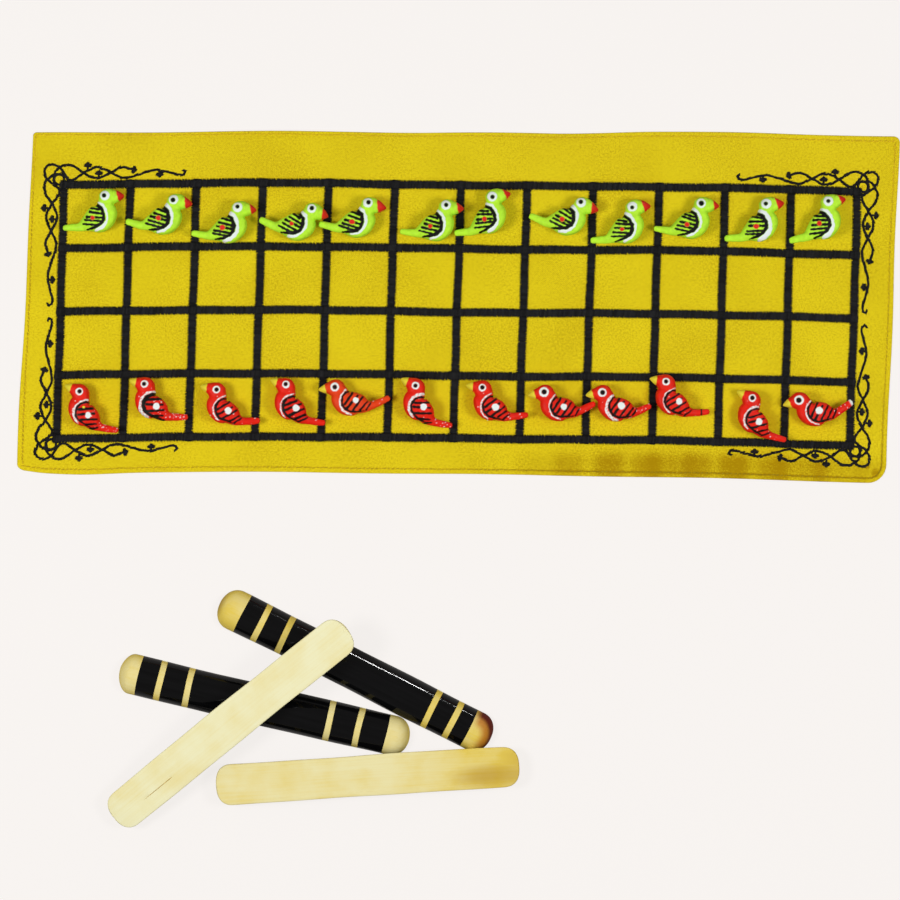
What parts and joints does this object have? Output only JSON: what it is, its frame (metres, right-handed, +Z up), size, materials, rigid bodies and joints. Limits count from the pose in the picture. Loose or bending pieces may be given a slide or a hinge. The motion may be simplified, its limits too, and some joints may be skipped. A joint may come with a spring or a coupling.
{
  "type": "tab game board",
  "caption": "Cloth race-game board with a satin-stitched square grid and corner vines, set with lift-off painted bird pieces and half-round throwing sticks.",
  "frame": {"origin": "middle of the stitched grid, on the mat's underside where it lies on the table", "axes": "+X along the rows of squares, +Y across them towards the green birds and away from the sticks, +Z up"},
  "size_m": [0.5043, 0.4001, 0.0312],
  "materials": {
    "yellow_cotton": "plain-woven cotton",
    "yellow_thread": "sewing thread",
    "black_thread": "close satin stitch",
    "green_paint": "satin paint on carved wood",
    "red_paint": "satin paint on carved wood",
    "bare_wood": "sanded pale wood",
    "black_lacquer": "glossy black lacquer on pale wood"
  },
  "bodies": {
    "board": {"lining_cloth": "yellow_cotton", "face_cloth": "yellow_cotton", "edge_stitching": "yellow_thread", "column_line_1": "black_thread", "column_line_2": "black_thread", "column_line_3": "black_thread", "column_line_4": "black_thread", "column_line_5": "black_thread", "column_line_6": "black_thread", "column_line_7": "black_thread", "column_line_8": "black_thread", "column_line_9": "black_thread", "column_line_10": "black_thread", "column_line_11": "black_thread", "column_line_12": "black_thread", "column_line_13": "black_thread", "row_line_1": "black_thread", "row_line_2": "black_thread", "row_line_3": "black_thread", "row_line_4": "black_thread", "row_line_5": "black_thread", "vine_top_left": "black_thread", "vine_top_right": "black_thread", "vine_bottom_left": "black_thread", "vine_bottom_right": "black_thread"},
    "green_piece_1": {"green_bird_1": "green_paint"},
    "green_piece_2": {"green_bird_2": "green_paint"},
    "green_piece_3": {"green_bird_3": "green_paint"},
    "green_piece_4": {"green_bird_4": "green_paint"},
    "green_piece_5": {"green_bird_5": "green_paint"},
    "green_piece_6": {"green_bird_6": "green_paint"},
    "green_piece_7": {"green_bird_7": "green_paint"},
    "green_piece_8": {"green_bird_8": "green_paint"},
    "green_piece_9": {"green_bird_9": "green_paint"},
    "green_piece_10": {"green_bird_10": "green_paint"},
    "green_piece_11": {"green_bird_11": "green_paint"},
    "green_piece_12": {"green_bird_12": "green_paint"},
    "red_piece_1": {"red_bird_1": "red_paint"},
    "red_piece_2": {"red_bird_2": "red_paint"},
    "red_piece_3": {"red_bird_3": "red_paint"},
    "red_piece_4": {"red_bird_4": "red_paint"},
    "red_piece_5": {"red_bird_5": "red_paint"},
    "red_piece_6": {"red_bird_6": "red_paint"},
    "red_piece_7": {"red_bird_7": "red_paint"},
    "red_piece_8": {"red_bird_8": "red_paint"},
    "red_piece_9": {"red_bird_9": "red_paint"},
    "red_piece_10": {"red_bird_10": "red_paint"},
    "red_piece_11": {"red_bird_11": "red_paint"},
    "red_piece_12": {"red_bird_12": "red_paint"},
    "stick_1": {"throwing_stick_1": "black_lacquer"},
    "stick_2": {"throwing_stick_2": "black_lacquer"},
    "stick_3": {"throwing_stick_3": "bare_wood"},
    "stick_4": {"throwing_stick_4": "bare_wood"}
  },
  "joints": [
    {"name": "green_lift_1", "type": "slide", "parent": "board", "child": "green_piece_1", "axis": [0, 0, 1], "range_m": [0, 0.05]},
    {"name": "green_lift_2", "type": "slide", "parent": "board", "child": "green_piece_2", "axis": [0, 0, 1], "range_m": [0, 0.05]},
    {"name": "green_lift_3", "type": "slide", "parent": "board", "child": "green_piece_3", "axis": [0, 0, 1], "range_m": [0, 0.05]},
    {"name": "green_lift_4", "type": "slide", "parent": "board", "child": "green_piece_4", "axis": [0, 0, 1], "range_m": [0, 0.05]},
    {"name": "green_lift_5", "type": "slide", "parent": "board", "child": "green_piece_5", "axis": [0, 0, 1], "range_m": [0, 0.05]},
    {"name": "green_lift_6", "type": "slide", "parent": "board", "child": "green_piece_6", "axis": [0, 0, 1], "range_m": [0, 0.05]},
    {"name": "green_lift_7", "type": "slide", "parent": "board", "child": "green_piece_7", "axis": [0, 0, 1], "range_m": [0, 0.05]},
    {"name": "green_lift_8", "type": "slide", "parent": "board", "child": "green_piece_8", "axis": [0, 0, 1], "range_m": [0, 0.05]},
    {"name": "green_lift_9", "type": "slide", "parent": "board", "child": "green_piece_9", "axis": [0, 0, 1], "range_m": [0, 0.05]},
    {"name": "green_lift_10", "type": "slide", "parent": "board", "child": "green_piece_10", "axis": [0, 0, 1], "range_m": [0, 0.05]},
    {"name": "green_lift_11", "type": "slide", "parent": "board", "child": "green_piece_11", "axis": [0, 0, 1], "range_m": [0, 0.05]},
    {"name": "green_lift_12", "type": "slide", "parent": "board", "child": "green_piece_12", "axis": [0, 0, 1], "range_m": [0, 0.05]},
    {"name": "red_lift_1", "type": "slide", "parent": "board", "child": "red_piece_1", "axis": [0, 0, 1], "range_m": [0, 0.05]},
    {"name": "red_lift_2", "type": "slide", "parent": "board", "child": "red_piece_2", "axis": [0, 0, 1], "range_m": [0, 0.05]},
    {"name": "red_lift_3", "type": "slide", "parent": "board", "child": "red_piece_3", "axis": [0, 0, 1], "range_m": [0, 0.05]},
    {"name": "red_lift_4", "type": "slide", "parent": "board", "child": "red_piece_4", "axis": [0, 0, 1], "range_m": [0, 0.05]},
    {"name": "red_lift_5", "type": "slide", "parent": "board", "child": "red_piece_5", "axis": [0, 0, 1], "range_m": [0, 0.05]},
    {"name": "red_lift_6", "type": "slide", "parent": "board", "child": "red_piece_6", "axis": [0, 0, 1], "range_m": [0, 0.05]},
    {"name": "red_lift_7", "type": "slide", "parent": "board", "child": "red_piece_7", "axis": [0, 0, 1], "range_m": [0, 0.05]},
    {"name": "red_lift_8", "type": "slide", "parent": "board", "child": "red_piece_8", "axis": [0, 0, 1], "range_m": [0, 0.05]},
    {"name": "red_lift_9", "type": "slide", "parent": "board", "child": "red_piece_9", "axis": [0, 0, 1], "range_m": [0, 0.05]},
    {"name": "red_lift_10", "type": "slide", "parent": "board", "child": "red_piece_10", "axis": [0, 0, 1], "range_m": [0, 0.05]},
    {"name": "red_lift_11", "type": "slide", "parent": "board", "child": "red_piece_11", "axis": [0, 0, 1], "range_m": [0, 0.05]},
    {"name": "red_lift_12", "type": "slide", "parent": "board", "child": "red_piece_12", "axis": [0, 0, 1], "range_m": [0, 0.05]},
    {"name": "stick_pull_1", "type": "slide", "parent": "board", "child": "stick_1", "axis": [-0.898, 0.4399, 0], "range_m": [0, 0.1]},
    {"name": "stick_pull_2", "type": "slide", "parent": "board", "child": "stick_2", "axis": [-0.9751, 0.2215, 0], "range_m": [0, 0.12]},
    {"name": "stick_lift_3", "type": "slide", "parent": "board", "child": "stick_3", "axis": [0, 0, 1], "range_m": [0, 0.08]},
    {"name": "stick_lift_4", "type": "slide", "parent": "board", "child": "stick_4", "axis": [0, 0, 1], "range_m": [0, 0.08]}
  ]
}
